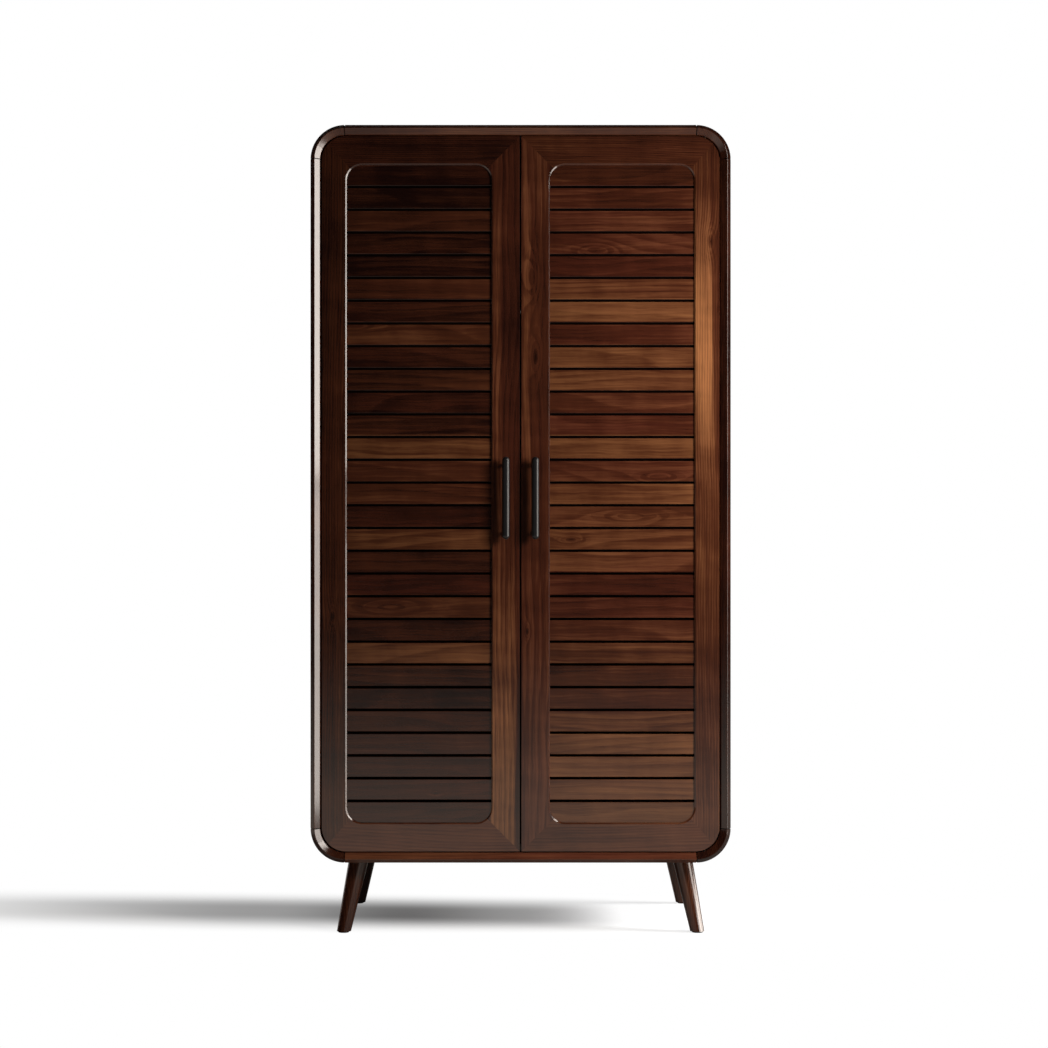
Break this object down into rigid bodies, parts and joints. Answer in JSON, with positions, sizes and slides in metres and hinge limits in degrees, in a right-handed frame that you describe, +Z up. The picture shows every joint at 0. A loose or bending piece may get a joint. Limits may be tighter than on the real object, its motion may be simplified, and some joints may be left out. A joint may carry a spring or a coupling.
{
  "type": "wardrobe",
  "caption": "Wooden wardrobe with rounded corners, hinged doors with horizontal slats, black bar handles and splayed tapered legs; a hat shelf and a hanging rail inside.",
  "frame": {"origin": "on the floor, in the middle of the width and of the depth from the handles' fronts to the back", "axes": "+Z up, -Y out of the front where the doors are, +X to the right of a person facing the front"},
  "size_m": [1, 0.5836, 1.927],
  "materials": {
    "frame_wood": "satin lacquered dark walnut",
    "slat_wood": "satin lacquered dark walnut, tone varying from slat to slat",
    "leg_wood": "satin lacquered dark walnut",
    "interior_wood": "matt walnut veneer",
    "beech": "plain beech",
    "black_metal": "satin black",
    "steel": "zinc plated",
    "chrome": "polished",
    "brass": "turned",
    "black_plastic": "moulded"
  },
  "bodies": {
    "carcass": {"back_panel": "interior_wood", "bottom_left_corner_block": "frame_wood", "bottom_panel": "frame_wood", "bottom_right_corner_block": "frame_wood", "bottom_stop_strip": "interior_wood", "catch_housings": "black_plastic", "catch_magnets": "steel", "corner_dowels": "beech", "foot_glides": "black_plastic", "front_left_leg": "leg_wood", "front_right_leg": "leg_wood", "hanging_rail": "chrome", "hat_shelf": "interior_wood", "left_pivot_pins": "steel", "left_rail_socket": "chrome", "left_side_panel": "frame_wood", "leg_bolts": "steel", "leg_inserts": "steel", "rear_left_leg": "leg_wood", "rear_right_leg": "leg_wood", "right_pivot_pins": "steel", "right_rail_socket": "chrome", "right_side_panel": "frame_wood", "shelf_pins": "steel", "top_left_corner_block": "frame_wood", "top_panel": "frame_wood", "top_right_corner_block": "frame_wood", "top_stop_strip": "interior_wood", "wall_fixing_rail": "interior_wood"},
    "left_door": {"left_door_backing": "interior_wood", "left_door_bottom_rail": "frame_wood", "left_door_inner_stile": "frame_wood", "left_door_outer_stile": "frame_wood", "left_door_slats": "slat_wood", "left_door_top_rail": "frame_wood", "left_handle_bar": "black_metal", "left_handle_posts": "black_metal", "left_handle_screws": "steel", "left_pivot_bushes": "brass", "left_strike_plates": "steel"},
    "right_door": {"right_door_backing": "interior_wood", "right_door_bottom_rail": "frame_wood", "right_door_inner_stile": "frame_wood", "right_door_outer_stile": "frame_wood", "right_door_slats": "slat_wood", "right_door_top_rail": "frame_wood", "right_handle_bar": "black_metal", "right_handle_posts": "black_metal", "right_handle_screws": "steel", "right_pivot_bushes": "brass", "right_strike_plates": "steel"}
  },
  "joints": [
    {"name": "left_door_swing", "type": "hinge", "parent": "carcass", "child": "left_door", "pos_m": [-0.4375, -0.25335, 1.049], "axis": [0, 0, -1], "range_deg": [0, 110]},
    {"name": "right_door_swing", "type": "hinge", "parent": "carcass", "child": "right_door", "pos_m": [0.4375, -0.25335, 1.049], "axis": [0, 0, 1], "range_deg": [0, 110]}
  ]
}
